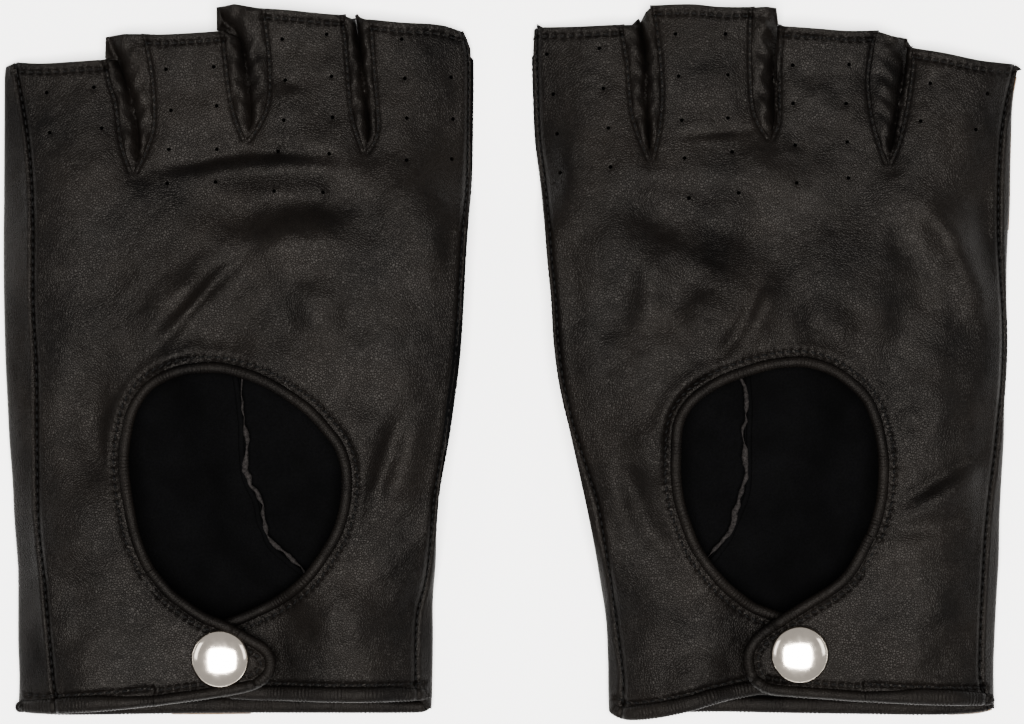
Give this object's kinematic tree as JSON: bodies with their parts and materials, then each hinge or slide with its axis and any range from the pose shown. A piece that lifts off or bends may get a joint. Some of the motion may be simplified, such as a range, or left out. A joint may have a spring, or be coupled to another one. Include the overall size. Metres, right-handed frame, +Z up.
{
  "type": "fingerless gloves",
  "caption": "Pair of fingerless leather driving gloves lying flat, open keyhole backs, perforated finger stubs, snap wrist tabs and folded-under thumbs.",
  "frame": {"origin": "centre of the pair's box in plan, on the surface the gloves lie on", "axes": "+X across the pair from the left glove to the right glove, +Y towards the fingers, +Z up out of the backs of the hands"},
  "size_m": [0.2624, 0.1846, 0.0203],
  "materials": {
    "leather": "soft satin black nappa with a fine grain",
    "binding": "rolled black leather, slightly glossier",
    "thread": "black sewing thread",
    "metal": "polished nickel"
  },
  "bodies": {
    "left_glove": {"left_palm_panel": "leather", "left_back_panel": "leather", "left_fourchette_little_ring": "leather", "left_fourchette_ring_middle": "leather", "left_fourchette_middle_index": "leather", "left_keyhole_binding": "binding", "left_keyhole_stitching": "thread", "left_wrist_binding_little": "binding", "left_wrist_stitching_little": "thread", "left_wrist_binding_thumb": "binding", "left_wrist_stitching_thumb": "thread", "left_palm_binding": "binding", "left_little_hem_stitching": "thread", "left_ring_hem_stitching": "thread", "left_middle_hem_stitching": "thread", "left_index_hem_stitching": "thread", "left_little_seam_stitching": "thread", "left_thumb_seam_stitching": "thread", "left_snap_stud": "metal", "left_snap_post": "metal", "left_thumb_base": "leather"},
    "left_tab": {"left_snap_tab": "leather", "left_tab_binding": "binding", "left_tab_stitching": "thread", "left_snap_cap": "metal", "left_snap_socket": "metal"},
    "left_thumb": {"left_thumb_stall": "leather"},
    "right_glove": {"right_palm_panel": "leather", "right_back_panel": "leather", "right_fourchette_little_ring": "leather", "right_fourchette_ring_middle": "leather", "right_fourchette_middle_index": "leather", "right_keyhole_binding": "binding", "right_keyhole_stitching": "thread", "right_wrist_binding_little": "binding", "right_wrist_stitching_little": "thread", "right_wrist_binding_thumb": "binding", "right_wrist_stitching_thumb": "thread", "right_palm_binding": "binding", "right_little_hem_stitching": "thread", "right_ring_hem_stitching": "thread", "right_middle_hem_stitching": "thread", "right_index_hem_stitching": "thread", "right_little_seam_stitching": "thread", "right_thumb_seam_stitching": "thread", "right_snap_stud": "metal", "right_snap_post": "metal", "right_thumb_base": "leather"},
    "right_tab": {"right_snap_tab": "leather", "right_tab_binding": "binding", "right_tab_stitching": "thread", "right_snap_cap": "metal", "right_snap_socket": "metal"},
    "right_thumb": {"right_thumb_stall": "leather"}
  },
  "joints": [
    {"name": "gloves_apart", "type": "slide", "parent": "left_glove", "child": "right_glove", "axis": [1, 0, 0], "range_m": [0, 0.15]},
    {"name": "left_tab_hinge", "type": "hinge", "parent": "left_glove", "child": "left_tab", "pos_m": [-0.09167, -0.07642, 0.013], "axis": [0, -1, 0], "range_deg": [0, 140]},
    {"name": "left_thumb_swing", "type": "hinge", "parent": "left_glove", "child": "left_thumb", "pos_m": [-0.04379, -0.02642, 0.0035], "axis": [0, 0, -1], "range_deg": [0, 75]},
    {"name": "right_tab_hinge", "type": "hinge", "parent": "right_glove", "child": "right_tab", "pos_m": [0.09027, -0.07642, 0.013], "axis": [0, 1, 0], "range_deg": [0, 140]},
    {"name": "right_thumb_swing", "type": "hinge", "parent": "right_glove", "child": "right_thumb", "pos_m": [0.04319, -0.02642, 0.0035], "axis": [0, 0, 1], "range_deg": [0, 75]}
  ]
}
